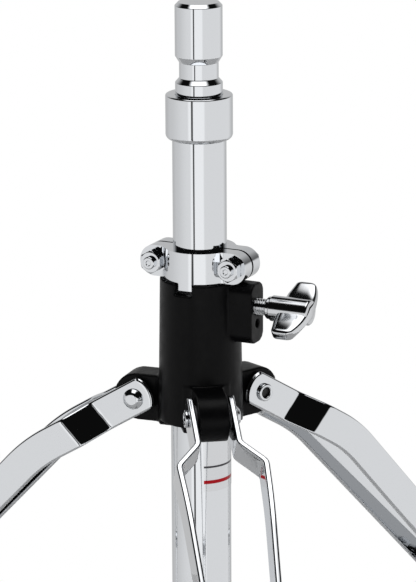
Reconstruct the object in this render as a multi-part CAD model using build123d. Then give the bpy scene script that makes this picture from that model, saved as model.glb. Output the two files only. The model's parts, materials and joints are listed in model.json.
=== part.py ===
from build123d import *
import os
from math import atan2, cos, degrees, hypot, radians, sin, sqrt, tan

# Double-braced tripod stand base with a telescoping post.
# Frame: origin on the post axis in the collar's top face, +Z up, leg 1 points along -Y.
# Lengths are millimetres and angles are degrees.

# --- Tubes and post ---
BASE_TUBE_R = 14.3
BASE_TUBE_BORE_R = 13.1
POST_R = 12.7
POST_BORE_R = 11.2
SPIGOT_R = 11.1
SPIGOT_NECK_R = 9.2
SPIGOT_TOP_R = 9.5
COLLAR_R = 15.75
COLLAR_ROUND = 2.6
COLLAR_CHAMFER = 0.7
STEM_CHAMFER = 1.0
EDGE = 0.4

# --- Heights, counted from the collar's top face ---
PIVOT_Z = -148.1
FLOOR_Z = PIVOT_Z - 390.0
HUB_TOP = PIVOT_Z + 60.4
HUB_BOTTOM = PIVOT_Z - 8.9
SCREW_Z = PIVOT_Z + 49.1
LOCK_TOP = HUB_TOP + 14.9
COLLAR_BOTTOM = -21.3
POST_BOTTOM = PIVOT_Z - 150.0
POST_TOP = -2.5
STEM_BOTTOM = -40.0
NECK_START = 5.8
NECK_BOTTOM = 7.7
NECK_TOP = 15.0
HEAD_BOTTOM = 18.3
HEAD_TOP = 41.6
SPIGOT_TOP = 43.3
BASE_TUBE_TOP = PIVOT_Z + 27.5
BUSHING_BOTTOM = PIVOT_Z + 28.0

# --- Hub casting ---
HUB_R_TOP = 19.0
HUB_R_BOTTOM = 20.2
PIVOT_R = 30.2
LUG_R = 11.4
LUG_HALF = 7.15
LUG_BLEND = 3.0
BOSS_AZ = -35.0
BOSS_REACH = 29.8
BOSS_W = 14.0
BOSS_H = 29.0
BOSS_ROUND = 5.0
PIN_HOLE_R = 1.9
PIN_HOLE_DEPTH = 6.0
PIN_HOLE_Z = PIVOT_Z + 40.8
LEG_AZIMUTHS = (-90.0, 30.0, 150.0)

# --- Fits ---
RUNNING = 0.05
SIDE_GAP = 0.2

# --- Memory lock: two halves bolted round the post ---
LOCK_AZ = BOSS_AZ - 90.0
LOCK_R = 17.0
LOCK_EAR_T = 8.0
LOCK_SPLIT_HALF = 0.75
BOLT_OFFSET = 20.0
BOLT_R = 3.0
NUT_AF = 10.0
NUT_T = 4.6
NUT_POCKET_R = 6.3
BOLT_END = 2.0
TAB_W = 7.2
TAB_DROP = 3.2
NOTCH_SIDE = 0.8
NOTCH_EXTRA = 2.0
NOTCH_INNER_R = 10.0
NUT_CHAMFER = 0.7
BOLT_CHAMFER = 0.6

# --- Wing screws: X runs outward from the face that the screw enters ---
SCREW_R = 4.0
SCREW_GAP = 5.5
COLLAR_END = 7.5
WING_COLLAR_R = 5.4
BARREL_R = 6.1
WING_HALF = 18.0
WING_HALF_T = 3.0
WING_ROOT_X = 12.3
WING_TIP_X = 14.2
WING_EDGE_X = 23.5
WING_CROWN_X = 28.0
WING_TIP_ROUND = 2.0
BARREL_SET_BACK = 0.6
WING_TILT = 28.2
PAD_T = 3.7

# --- Legs: flat frame with X along the upper run, Y across the leg, Z across the strap ---
LEG_SLOPE = 31.3
KNEE_X = 57.0
KNEE_TURN = 15.7
KNEE_R = 85.0
STRAP_W = 16.3
STRAP_T = 3.0
EYE_REACH = 9.2
EYE_SAG = 3.5
HIP_Y = 9.7
FLARE_SKEW = 12.0
FLARE_START = 20.3
FLARE_END = 32.3
FLARE_Y = 20.3
NARROW_END = 365.0
FOOT_Y = 4.2
STRAP_BEND_R = 4.0
NARROW_BEND_R = 60.0
STRAP_END_HEIGHT = 15.0
STRUT_PIVOT_LENGTH = 185.0

# --- Rivets ---
PIVOT_RIVET_R = 3.0
RIVET_HEAD_R = 5.0
RIVET_HEAD_T = 2.6
ROLLED_END_R = 4.3
ROLLED_END_T = 1.5
ROLLED_HOLE_R = 2.5
SMALL_RIVET_R = 2.5
SMALL_HEAD_R = 4.4
SMALL_HEAD_T = 1.8
SLEEVE_R = 4.5
HEAD_SINK = 0.4
ROLLED_HOLE_DEPTH = 6.0
WASHER_R = 6.0
FOOT_RIVET_BACK = 9.0

# --- Struts and sliding collar ---
STRUT_T = 4.0
STRUT_END_R = 7.0
EAR_T = 4.0
EAR_R = 8.0
SLIDER_R = 19.0
SLIDER_BELOW = 9.0
SLIDER_ABOVE = 22.0
SLIDER_SCREW_UP = 9.0
SLIDER_BOSS_REACH = 26.0
SLIDER_BOSS_H = 17.0
SLIDER_BOSS_AZ = -30.0
SLOT_BEYOND = 0.5
TUBE_BOTTOM = PIVOT_Z - 377.0
CAP_T = 3.0
CAP_PLUG = 14.0

# --- Feet ---
FOOT_HALF_W = 12.0
FOOT_BEFORE = 24.0
FOOT_AFTER = 17.0
FOOT_H = 27.0
FOOT_ROUND = 3.0
FOOT_EDGE_ROUND = 1.5
FOOT_TOE_H = 12.0
FOOT_TOE_CUT = 11.0
FOOT_HEEL_H = 13.5
FOOT_HEEL_BULGE = 4.0
FOOT_HEEL_CUT = 3.0

# --- Decal on the base tube ---
DECAL_T = 0.15
DECAL_HALF_ANGLE = 55.0
DECAL_AZ = -39.0
DECAL_TOP = PIVOT_Z - 14.0
DECAL_BOTTOM = PIVOT_Z - 42.0

BASE = (Align.CENTER, Align.CENTER, Align.MIN)

# --- Lengths of cutters that pass right through what they cut ---
OVERCUT = 2.0
LOCK_CUT = 30.0
LUG_CUT = 20.0
LEG_CUT = 40.0
LONG_CUT = 100.0


# ---------------------------------------------------------------- helpers
def turned(points):
    """Solid of revolution about Z of an outline given as (radius, height)."""
    return revolve(Plane.XZ * make_face(Polyline(*points, close=True)), axis=Axis.Z)


def ring(outer_r, inner_r, bottom, top):
    """Straight sleeve about Z."""
    return turned([(inner_r, bottom), (outer_r, bottom), (outer_r, top), (inner_r, top)])


def rod_x(radius, start, end, z=0.0):
    """Round bar along +X, from start to end, at height z."""
    return Pos(start, 0, z) * Rot(0, 90, 0) * Cylinder(radius, end - start, align=BASE)


def rod_y(radius, start, end, x=0.0, z=0.0):
    """Round bar along +Y, from start to end, through (x, z)."""
    return Pos(x, start, z) * Rot(-90, 0, 0) * Cylinder(radius, end - start, align=BASE)


def dome_y(radius, thickness, start, side, x, z):
    """Domed rivet head that rises along side * Y from y = start."""
    sphere_r = (radius * radius + thickness * thickness) / (2 * thickness)
    ball = Pos(x, start + side * (thickness - sphere_r), z) * Sphere(sphere_r)
    far = start + side * thickness
    return ball & rod_y(radius + 1, min(start, far), max(start, far), x, z)


def side_plate(sketch, half_thickness):
    """Plate drawn in the X-Z plane, centred on Y = 0."""
    return extrude(Plane.XZ * sketch, amount=half_thickness, both=True)


def at_azimuth(shape, azimuth):
    """Turn a shape drawn along +X about the post."""
    return Rot(0, 0, azimuth) * shape


def group(shapes):
    """Several separate solids kept in one node."""
    return Compound([solid for shape in shapes for solid in shape.solids()])


# ---------------------------------------------------------------- leg geometry
def leg_drop():
    """Length of the lower run, from the knee to the strap's end."""
    drop = PIVOT_Z - FLOOR_Z - STRAP_END_HEIGHT - KNEE_X * sin(radians(LEG_SLOPE))
    return drop / sin(radians(LEG_SLOPE + KNEE_TURN))


def lower_run_point(distance):
    """Flat-frame (x, z) of a point on the lower run, at a distance past the knee."""
    turn = radians(KNEE_TURN)
    return (KNEE_X + distance * cos(turn), -distance * sin(turn))


def strut_pivot_flat():
    """Flat-frame (x, z) of the strut pivot, at its set distance from the leg pivot."""
    turn = radians(KNEE_TURN)
    half = KNEE_X * cos(turn)
    distance = -half + sqrt(half * half + STRUT_PIVOT_LENGTH**2 - KNEE_X**2)
    return lower_run_point(distance)


def to_radial(point):
    """Turn a flat-frame (x, z) into (radius, height) in the leg's own plane."""
    slope = radians(LEG_SLOPE)
    x, z = point
    return (PIVOT_R + x * cos(slope) + z * sin(slope), PIVOT_Z - x * sin(slope) + z * cos(slope))


STRAP_END = lower_run_point(leg_drop())
STRUT_PIVOT = to_radial(strut_pivot_flat())
STRUT_ANGLE = degrees(atan2(PIVOT_Z - STRUT_PIVOT[1], STRUT_PIVOT[0] - PIVOT_R))
SLIDER_Z = 2 * STRUT_PIVOT[1] - PIVOT_Z


def along_strap(point):
    """Distance of a flat-frame (x, z) along the line that the strap's bends are square to."""
    skew = radians(FLARE_SKEW)
    return point[0] * cos(skew) - point[1] * sin(skew)


def strap_y(point):
    """Middle of the strap's thickness at a flat-frame (x, z) past the flare."""
    share = (along_strap(point) - FLARE_END) / (NARROW_END - FLARE_END)
    return FLARE_Y + min(share, 1) * (FOOT_Y - FLARE_Y)


def in_leg_frame(shape, azimuth):
    """Carry a shape from the leg's flat frame to its place on the stand."""
    return at_azimuth(Pos(PIVOT_R, 0, PIVOT_Z) * Rot(0, LEG_SLOPE, 0) * shape, azimuth)


def strap_outline():
    """Side view of a strap: eye end, upper run, edgewise knee and lower run."""
    half = STRAP_W / 2
    turn = radians(KNEE_TURN)
    corner = half * tan(turn / 2)
    across = (half * sin(turn), half * cos(turn))
    end_top = (STRAP_END[0] + across[0], STRAP_END[1] + across[1])
    end_bottom = (STRAP_END[0] - across[0], STRAP_END[1] - across[1])
    top_points = [(EYE_SAG - EYE_REACH, half), (KNEE_X + corner, half), end_top]
    bottom_points = [(EYE_SAG - EYE_REACH, -half), (KNEE_X - corner, -half), end_bottom]
    top = FilletPolyline(*top_points, radius=KNEE_R + half)
    bottom = FilletPolyline(*bottom_points, radius=KNEE_R - half)
    tip = Line(end_top, end_bottom)
    eye = ThreePointArc(top_points[0], (-EYE_REACH, 0), bottom_points[0])
    return make_face(top.edges() + tip.edges() + bottom.edges() + eye.edges())


def strap_ribbon(side):
    """A strap's run across the leg: straight at the hub, flared outward, then drawn in to the foot."""
    far = along_strap(STRAP_END) + STRAP_W
    path = [
        (-2 * EYE_REACH, HIP_Y), (FLARE_START, HIP_Y), (FLARE_END, FLARE_Y),
        (NARROW_END, FOOT_Y), (far, FOOT_Y),
    ]
    middle = FilletPolyline(*path, radius=[STRAP_BEND_R, STRAP_BEND_R, NARROW_BEND_R])
    ribbon = trace(middle, line_width=STRAP_T)
    body = Rot(0, FLARE_SKEW, 0) * extrude(ribbon, amount=2 * STRAP_END[0], both=True)
    return body if side > 0 else mirror(body, about=Plane.XZ)


def flat_strap(side):
    """One leg strap in the leg's flat frame."""
    strap = strap_ribbon(side) & side_plate(strap_outline(), 2 * FLARE_Y)
    x, z = strut_pivot_flat()
    strap -= rod_y(PIVOT_RIVET_R + RUNNING, -LEG_CUT, LEG_CUT)
    strap -= rod_y(SMALL_RIVET_R, -LEG_CUT, LEG_CUT, x, z)
    x, z = foot_rivet_flat()
    strap -= rod_y(SMALL_RIVET_R, -LEG_CUT, LEG_CUT, x, z)
    return strap


def foot_rivet_flat():
    """Flat-frame (x, z) of the rivet that holds the foot."""
    return lower_run_point(leg_drop() - FOOT_RIVET_BACK)


# ---------------------------------------------------------------- post and lock
def post_tube():
    return ring(POST_R, POST_BORE_R, POST_BOTTOM, POST_TOP)


def top_spigot():
    """Necked spigot whose stem is pressed into the post tube."""
    return turned([
        (0, STEM_BOTTOM), (POST_BORE_R - STEM_CHAMFER, STEM_BOTTOM),
        (POST_BORE_R, STEM_BOTTOM + STEM_CHAMFER), (POST_BORE_R, POST_TOP), (SPIGOT_R, POST_TOP),
        (SPIGOT_R, NECK_START - EDGE), (SPIGOT_R - EDGE, NECK_START), (SPIGOT_NECK_R, NECK_BOTTOM),
        (SPIGOT_NECK_R, NECK_TOP), (SPIGOT_R - EDGE, HEAD_BOTTOM - EDGE), (SPIGOT_R, HEAD_BOTTOM),
        (SPIGOT_R, HEAD_TOP), (SPIGOT_TOP_R, SPIGOT_TOP), (0, SPIGOT_TOP),
    ])


def post_collar():
    """Collar at the post's top, with a lip that closes on the spigot."""
    outline = make_face(Polyline(
        (POST_R, COLLAR_BOTTOM), (COLLAR_R, COLLAR_BOTTOM),
        (COLLAR_R, -COLLAR_CHAMFER), (COLLAR_R - COLLAR_CHAMFER, 0),
        (SPIGOT_R, 0), (SPIGOT_R, POST_TOP), (POST_R, POST_TOP), close=True))
    lowest = outline.vertices().sort_by(Axis.Y)[:2].sort_by(Axis.X)[-1]
    return revolve(Plane.XZ * fillet(lowest, radius=COLLAR_ROUND), axis=Axis.Z)


def lock_half(side):
    """One half of the memory lock, drawn with its bolts along X; side +1 is the front half."""
    plan = Circle(LOCK_R) + Rectangle(2 * LOCK_EAR_T, 2 * BOLT_OFFSET + LOCK_TOP - HUB_TOP)
    concave = plan.vertices().filter_by(lambda v: abs(v.Y) < LOCK_R)
    plan = fillet(concave, radius=LUG_BLEND)
    height = LOCK_TOP - HUB_TOP
    body = Pos(0, 0, HUB_TOP) * extrude(plan, amount=height)
    face = Plane.YZ * SlotCenterToCenter(2 * BOLT_OFFSET, height)
    body &= Pos(0, 0, HUB_TOP + height / 2) * extrude(face, amount=LOCK_R + 1, both=True)
    if side > 0:
        tab = Pos(LOCK_R / 2, 0, HUB_TOP - TAB_DROP) * Box(LOCK_R, TAB_W, TAB_DROP + 1, align=BASE)
        body += tab & Pos(0, 0, HUB_TOP - TAB_DROP) * Cylinder(LOCK_R, TAB_DROP + 1, align=BASE)
    body -= Pos(0, 0, HUB_TOP) * Cylinder(POST_R, LONG_CUT)
    for y in (-BOLT_OFFSET, BOLT_OFFSET):
        body -= Pos(0, y, 0) * rod_x(BOLT_R, -LOCK_CUT, LOCK_CUT, HUB_TOP + height / 2)
        body -= Pos(0, y, 0) * rod_x(NUT_POCKET_R, LOCK_EAR_T, LOCK_CUT, HUB_TOP + height / 2)
        body -= Pos(0, y, 0) * rod_x(NUT_POCKET_R, -LOCK_CUT, -LOCK_EAR_T, HUB_TOP + height / 2)
    keep = Pos(side * (LONG_CUT / 2 + LOCK_SPLIT_HALF), 0, HUB_TOP) * Box(LONG_CUT, LONG_CUT, LONG_CUT)
    return at_azimuth(body & keep, LOCK_AZ)


def hex_block(across_flats, start, end):
    """Hexagonal prism along X with turned chamfers on both faces."""
    corner_r = across_flats / 2 / cos(radians(30))
    prism = Pos(start, 0, 0) * Rot(0, 90, 0) * extrude(RegularPolygon(corner_r, 6), amount=end - start)
    turn = Rot(0, 90, 0) * turned([
        (0, start), (across_flats / 2, start), (corner_r, start + NUT_CHAMFER),
        (corner_r, end - NUT_CHAMFER), (across_flats / 2, end), (0, end),
    ])
    return prism & turn


def lock_fasteners(kind):
    """Both bolts or both nuts of the memory lock."""
    z = (HUB_TOP + LOCK_TOP) / 2
    nut_end = LOCK_EAR_T + NUT_T
    parts = []
    for y in (-BOLT_OFFSET, BOLT_OFFSET):
        if kind == "nuts":
            piece = hex_block(NUT_AF, LOCK_EAR_T, nut_end) - rod_x(BOLT_R, 0, nut_end + OVERCUT)
        else:
            piece = hex_block(NUT_AF, -LOCK_EAR_T - NUT_T, -LOCK_EAR_T)
            chamfer_start = nut_end + BOLT_END - BOLT_CHAMFER
            piece += rod_x(BOLT_R, -LOCK_EAR_T - 1, chamfer_start)
            piece += Pos(chamfer_start, 0, 0) * Rot(0, 90, 0) * Cone(
                BOLT_R, BOLT_R - BOLT_CHAMFER, BOLT_CHAMFER, align=BASE)
        parts.append(at_azimuth(Pos(0, y, z) * piece, LOCK_AZ))
    return group(parts)


# ---------------------------------------------------------------- hub
def notch():
    """Slot in the hub's rim that the lock's tab drops into."""
    depth = TAB_DROP + NOTCH_EXTRA
    cut = Pos(HUB_R_TOP, 0, HUB_TOP - depth) * Box(
        2 * (HUB_R_TOP - NOTCH_INNER_R), TAB_W + 2 * NOTCH_SIDE, depth + OVERCUT, align=BASE)
    return at_azimuth(cut, LOCK_AZ)


def hub_lugs():
    """Three lugs with rounded ends, blended into the barrel in plan view."""
    plan = Circle(HUB_R_BOTTOM)
    reach = PIVOT_R + LUG_R
    for azimuth in LEG_AZIMUTHS:
        plan += Rot(0, 0, azimuth) * Pos(reach / 2, 0) * Rectangle(reach, 2 * LUG_HALF)
    plan = fillet(plan.vertices().filter_by(lambda v: hypot(v.X, v.Y) < PIVOT_R), radius=LUG_BLEND)
    slab = Pos(0, 0, PIVOT_Z) * extrude(plan, amount=LUG_R, both=True)
    outline = Pos(PIVOT_R / 2, 0) * Rectangle(PIVOT_R, 2 * LUG_R) + Pos(PIVOT_R, 0) * Circle(LUG_R)
    shape = side_plate(outline, LUG_HALF + LUG_BLEND + 1)
    return [slab & at_azimuth(Pos(0, 0, PIVOT_Z) * shape, azimuth) for azimuth in LEG_AZIMUTHS]


def hub():
    """Cast hub that carries the legs, the post's bushing and the clamp screw."""
    body = turned([(0, HUB_BOTTOM), (HUB_R_BOTTOM, HUB_BOTTOM), (HUB_R_TOP, HUB_TOP), (0, HUB_TOP)])
    for lug in hub_lugs():
        body += lug
    face = Plane.YZ * RectangleRounded(BOSS_W, BOSS_H, BOSS_ROUND)
    boss = Pos(0, 0, HUB_TOP - BOSS_H / 2) * extrude(face, amount=BOSS_REACH)
    body += at_azimuth(boss, BOSS_AZ)
    body -= Pos(0, 0, PIVOT_Z - LUG_R - OVERCUT) * Cylinder(BASE_TUBE_R, LONG_CUT, align=BASE)
    body -= at_azimuth(rod_x(SCREW_R, 0, BOSS_REACH + OVERCUT, SCREW_Z), BOSS_AZ)
    pin_hole = rod_x(PIN_HOLE_R, BOSS_REACH - PIN_HOLE_DEPTH, BOSS_REACH + OVERCUT, PIN_HOLE_Z)
    body -= at_azimuth(pin_hole, BOSS_AZ)
    body -= notch()
    for azimuth in LEG_AZIMUTHS:
        body -= at_azimuth(rod_y(PIVOT_RIVET_R, -LUG_CUT, LUG_CUT, PIVOT_R, PIVOT_Z), azimuth)
    return body


def hub_bushing():
    """Plastic sleeve in the hub that the post slides in."""
    sleeve = ring(BASE_TUBE_R, POST_R + RUNNING, BUSHING_BOTTOM, HUB_TOP - 0.2)
    sleeve -= at_azimuth(rod_x(SCREW_R + 0.3, 0, 2 * BASE_TUBE_R, SCREW_Z), BOSS_AZ)
    return sleeve - notch()


def leg_pivot_rivets():
    """Semi-tubular rivets: domed head on one side, rolled hollow end on the other."""
    head_y = HIP_Y + STRAP_T / 2 + RUNNING
    rivet = rod_y(PIVOT_RIVET_R, -head_y - HEAD_SINK, head_y + HEAD_SINK)
    rivet += dome_y(RIVET_HEAD_R, RIVET_HEAD_T, head_y, 1, 0, 0)
    rivet += rod_y(ROLLED_END_R, -head_y - ROLLED_END_T, -head_y)
    rivet -= rod_y(ROLLED_HOLE_R, -head_y - ROLLED_END_T - OVERCUT, ROLLED_HOLE_DEPTH - head_y)
    return group([at_azimuth(Pos(PIVOT_R, 0, PIVOT_Z) * rivet, a) for a in LEG_AZIMUTHS])


def leg_pivot_washers():
    """Spacing washers between the hub's lugs and the straps."""
    outer_y = HIP_Y - STRAP_T / 2 - RUNNING
    washer = rod_y(WASHER_R, LUG_HALF, outer_y) - rod_y(PIVOT_RIVET_R, 0, LUG_CUT)
    both = [washer, mirror(washer, about=Plane.XZ)]
    place = Pos(PIVOT_R, 0, PIVOT_Z)
    return group([at_azimuth(place * part, a) for a in LEG_AZIMUTHS for part in both])


# ---------------------------------------------------------------- base tube
def base_tube():
    return ring(BASE_TUBE_R, BASE_TUBE_BORE_R, TUBE_BOTTOM, BASE_TUBE_TOP)


def base_tube_cap():
    """Plug that closes the base tube's lower end."""
    return turned([
        (0, TUBE_BOTTOM - CAP_T), (BASE_TUBE_R - 1, TUBE_BOTTOM - CAP_T),
        (BASE_TUBE_R, TUBE_BOTTOM - CAP_T + 1), (BASE_TUBE_R, TUBE_BOTTOM),
        (BASE_TUBE_BORE_R, TUBE_BOTTOM), (BASE_TUBE_BORE_R, TUBE_BOTTOM + CAP_PLUG - 1),
        (BASE_TUBE_BORE_R - 1, TUBE_BOTTOM + CAP_PLUG), (0, TUBE_BOTTOM + CAP_PLUG),
    ])


def tube_decal():
    """Thin blank decal wrapped part of the way round the base tube."""
    section = make_face(Polyline(
        (BASE_TUBE_R, DECAL_BOTTOM), (BASE_TUBE_R + DECAL_T, DECAL_BOTTOM),
        (BASE_TUBE_R + DECAL_T, DECAL_TOP), (BASE_TUBE_R, DECAL_TOP), close=True))
    sheet = revolve(Plane.XZ * section, axis=Axis.Z, revolution_arc=2 * DECAL_HALF_ANGLE)
    return at_azimuth(sheet, DECAL_AZ - DECAL_HALF_ANGLE)


# ---------------------------------------------------------------- wing screws
def wing_screw(surface_r, face_r, z, azimuth):
    """Cast wing with a threaded shank; surface_r is the radius of the tube that it clamps."""
    half_side = Polyline(
        (WING_ROOT_X, 0), (WING_ROOT_X, WING_HALF / 2), (WING_TIP_X, WING_HALF), (WING_EDGE_X, WING_HALF))
    other_side = Polyline(
        (WING_EDGE_X, -WING_HALF), (WING_TIP_X, -WING_HALF), (WING_ROOT_X, -WING_HALF / 2), (WING_ROOT_X, 0))
    crown = ThreePointArc((WING_EDGE_X, WING_HALF), (WING_CROWN_X, 0), (WING_EDGE_X, -WING_HALF))
    outline = make_face(half_side.edges() + crown.edges() + other_side.edges())
    tips = outline.vertices().filter_by(lambda v: abs(v.Y) > WING_HALF - 1)
    wing = extrude(fillet(tips, radius=WING_TIP_ROUND), amount=WING_HALF_T, both=True)
    body = wing + rod_x(BARREL_R, COLLAR_END, WING_CROWN_X - BARREL_SET_BACK)
    body += rod_x(WING_COLLAR_R, SCREW_GAP, COLLAR_END + 1)
    tip_x = surface_r + RUNNING + PAD_T - face_r
    body += rod_x(SCREW_R - RUNNING, tip_x, COLLAR_END)
    return at_azimuth(Pos(face_r, 0, z) * Rot(WING_TILT, 0, 0) * body, azimuth)


def pressure_pad(surface_r, z, azimuth):
    """Pad at the screw's tip, which presses on the tube and doesn't turn."""
    start = surface_r + RUNNING
    return at_azimuth(rod_x(SCREW_R - 2 * RUNNING, start, start + PAD_T, z), azimuth)


# ---------------------------------------------------------------- legs
def leg_strap(side, azimuth):
    return in_leg_frame(flat_strap(side), azimuth)


def strut_sleeves(straps, azimuth):
    """Two spacer sleeves that centre the strut between the straps, faced to the straps."""
    x, z = strut_pivot_flat()
    parts = []
    for side in (-1, 1):
        near = side * (STRUT_T / 2 + SIDE_GAP)
        far = side * strap_y((x, z))
        sleeve = rod_y(SLEEVE_R, min(near, far), max(near, far), x, z)
        sleeve -= rod_y(SMALL_RIVET_R, -LEG_CUT, LEG_CUT, x, z)
        sleeve = in_leg_frame(sleeve, azimuth)
        for strap in straps:
            sleeve -= strap
        parts.append(max(sleeve.solids(), key=lambda solid: solid.volume))
    return group(parts)


def cross_rivet(point, half_length, straps, azimuth):
    """Rivet across the whole leg, with a domed head on each side faced to what it clamps."""
    x, z = point
    rivet = rod_y(SMALL_RIVET_R, -half_length - HEAD_SINK, half_length + HEAD_SINK, x, z)
    for side in (-1, 1):
        seat = side * (half_length - HEAD_SINK)
        rivet += dome_y(SMALL_HEAD_R, SMALL_HEAD_T + HEAD_SINK, seat, side, x, z)
    rivet = in_leg_frame(rivet, azimuth)
    for strap in straps:
        rivet -= strap
    return max(rivet.solids(), key=lambda solid: solid.volume)


def foot(straps, azimuth):
    """Moulded foot with a flat sole, slotted for the strap ends."""
    radius = to_radial(STRAP_END)[0]
    inner = radius - FOOT_BEFORE
    outer = radius + FOOT_AFTER
    outline = make_face(Polyline(
        (inner, FLOOR_Z), (outer, FLOOR_Z), (outer, FLOOR_Z + FOOT_TOE_H),
        (outer - FOOT_TOE_CUT, FLOOR_Z + FOOT_H), (inner + FOOT_HEEL_CUT, FLOOR_Z + FOOT_H),
        (inner - FOOT_HEEL_BULGE, FLOOR_Z + FOOT_HEEL_H), close=True))
    outline = fillet(outline.vertices(), radius=FOOT_ROUND)
    body = side_plate(outline, FOOT_HALF_W)
    cheek_edges = body.edges().filter_by(lambda e: abs(abs(e.center().Y) - FOOT_HALF_W) < 0.01)
    body = fillet(cheek_edges, radius=FOOT_EDGE_ROUND)
    body = at_azimuth(body, azimuth)
    for strap in straps:
        body -= strap
    x, z = foot_rivet_flat()
    return body - in_leg_frame(rod_y(SMALL_RIVET_R, -LEG_CUT, LEG_CUT, x, z), azimuth)


# ---------------------------------------------------------------- struts and slider
def strut(azimuth):
    """Flat bar from a leg's strut pivot down to the sliding collar."""
    bar = Rectangle(STRUT_PIVOT_LENGTH, 2 * STRUT_END_R)
    for x in (-STRUT_PIVOT_LENGTH / 2, STRUT_PIVOT_LENGTH / 2):
        bar += Pos(x, 0) * Circle(STRUT_END_R)
    for x in (-STRUT_PIVOT_LENGTH / 2, STRUT_PIVOT_LENGTH / 2):
        bar -= Pos(x, 0) * Circle(SMALL_RIVET_R + RUNNING)
    middle = ((STRUT_PIVOT[0] + PIVOT_R) / 2, (STRUT_PIVOT[1] + SLIDER_Z) / 2)
    plate = Pos(middle[0], 0, middle[1]) * Rot(0, -STRUT_ANGLE, 0) * side_plate(bar, STRUT_T / 2)
    return at_azimuth(plate, azimuth)


def sliding_collar():
    """Lower collar that runs on the base tube and carries the struts between paired ears."""
    body = Pos(0, 0, SLIDER_Z - SLIDER_BELOW) * Cylinder(SLIDER_R, SLIDER_BELOW + SLIDER_ABOVE, align=BASE)
    outline = Pos(PIVOT_R / 2, 0) * Rectangle(PIVOT_R, 2 * EAR_R) + Pos(PIVOT_R, 0) * Circle(EAR_R)
    slot_half = STRUT_T / 2 + SIDE_GAP
    pair = side_plate(outline, slot_half + EAR_T)
    for azimuth in LEG_AZIMUTHS:
        body += at_azimuth(Pos(0, 0, SLIDER_Z) * pair, azimuth)
    face = Plane.YZ * RectangleRounded(BOSS_W, SLIDER_BOSS_H, BOSS_ROUND)
    boss = Pos(0, 0, SLIDER_Z + SLIDER_SCREW_UP + 1) * extrude(face, amount=SLIDER_BOSS_REACH)
    body += at_azimuth(boss, SLIDER_BOSS_AZ)
    slot_middle = SLIDER_R + SLOT_BEYOND + LONG_CUT / 2
    slot = Pos(slot_middle, 0, SLIDER_Z) * Box(LONG_CUT, 2 * slot_half, LONG_CUT)
    for azimuth in LEG_AZIMUTHS:
        body -= at_azimuth(slot, azimuth)
        body -= at_azimuth(rod_y(SMALL_RIVET_R, -LUG_CUT, LUG_CUT, PIVOT_R, SLIDER_Z), azimuth)
    screw = rod_x(SCREW_R, 0, SLIDER_BOSS_REACH + OVERCUT, SLIDER_Z + SLIDER_SCREW_UP)
    body -= at_azimuth(screw, SLIDER_BOSS_AZ)
    return body - Pos(0, 0, SLIDER_Z) * Cylinder(BASE_TUBE_R + 2 * RUNNING, LONG_CUT)


def slider_rivets():
    """Rivets that join the struts to the sliding collar's ears."""
    half = STRUT_T / 2 + SIDE_GAP + EAR_T
    rivet = rod_y(SMALL_RIVET_R, -half, half)
    for side in (-1, 1):
        rivet += dome_y(SMALL_HEAD_R, SMALL_HEAD_T, side * half, side, 0, 0)
    return group([at_azimuth(Pos(PIVOT_R, 0, SLIDER_Z) * rivet, a) for a in LEG_AZIMUTHS])


# ---------------------------------------------------------------- all nodes
def leg_nodes(number, azimuth):
    """The nodes of one leg, by name."""
    straps = [leg_strap(side, azimuth) for side in (1, -1)]
    strut_half = strap_y(strut_pivot_flat()) + STRAP_T / 2
    name = f"leg_{number}"
    return {
        f"{name}_strap_left": straps[0],
        f"{name}_strap_right": straps[1],
        f"{name}_strut_sleeves": strut_sleeves(straps, azimuth),
        f"{name}_strut_rivet": cross_rivet(strut_pivot_flat(), strut_half, straps, azimuth),
        f"{name}_foot": foot(straps, azimuth),
        f"{name}_foot_rivet": foot_rivet(straps, azimuth),
        f"strut_{number}": strut(azimuth),
    }


def foot_rivet(straps, azimuth):
    """Rivet through the foot and both strap ends, with its heads on the foot's cheeks."""
    x, z = foot_rivet_flat()
    rivet = rod_y(SMALL_RIVET_R, -FOOT_HALF_W, FOOT_HALF_W, x, z)
    for side in (-1, 1):
        rivet += dome_y(SMALL_HEAD_R, SMALL_HEAD_T, side * FOOT_HALF_W, side, x, z)
    return in_leg_frame(rivet, azimuth)


def all_nodes():
    """Every node of the stand, by name."""
    slider_screw_z = SLIDER_Z + SLIDER_SCREW_UP
    nodes = {
        "post_tube": post_tube(),
        "top_spigot": top_spigot(),
        "post_collar": post_collar(),
        "lock_front_half": lock_half(1),
        "lock_rear_half": lock_half(-1),
        "lock_bolts": lock_fasteners("bolts"),
        "lock_nuts": lock_fasteners("nuts"),
        "hub": hub(),
        "hub_bushing": hub_bushing(),
        "leg_pivot_rivets": leg_pivot_rivets(),
        "leg_pivot_washers": leg_pivot_washers(),
        "base_tube": base_tube(),
        "base_tube_cap": base_tube_cap(),
        "tube_decal": tube_decal(),
        "post_screw": wing_screw(POST_R, BOSS_REACH, SCREW_Z, BOSS_AZ),
        "post_screw_pad": pressure_pad(POST_R, SCREW_Z, BOSS_AZ),
        "sliding_collar": sliding_collar(),
        "slider_rivets": slider_rivets(),
        "slider_screw": wing_screw(BASE_TUBE_R, SLIDER_BOSS_REACH, slider_screw_z, SLIDER_BOSS_AZ),
        "slider_screw_pad": pressure_pad(BASE_TUBE_R, slider_screw_z, SLIDER_BOSS_AZ),
    }
    for number, azimuth in enumerate(LEG_AZIMUTHS, start=1):
        nodes.update(leg_nodes(number, azimuth))
    return nodes


os.makedirs("parts", exist_ok=True)
for node_name, shape in all_nodes().items():
    export_step(shape, f"parts/{node_name}.step")
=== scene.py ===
import json
from math import ceil, cos, pi, radians, sin, sqrt, tan

import bmesh
import bpy
from mathutils import Matrix, Vector


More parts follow.
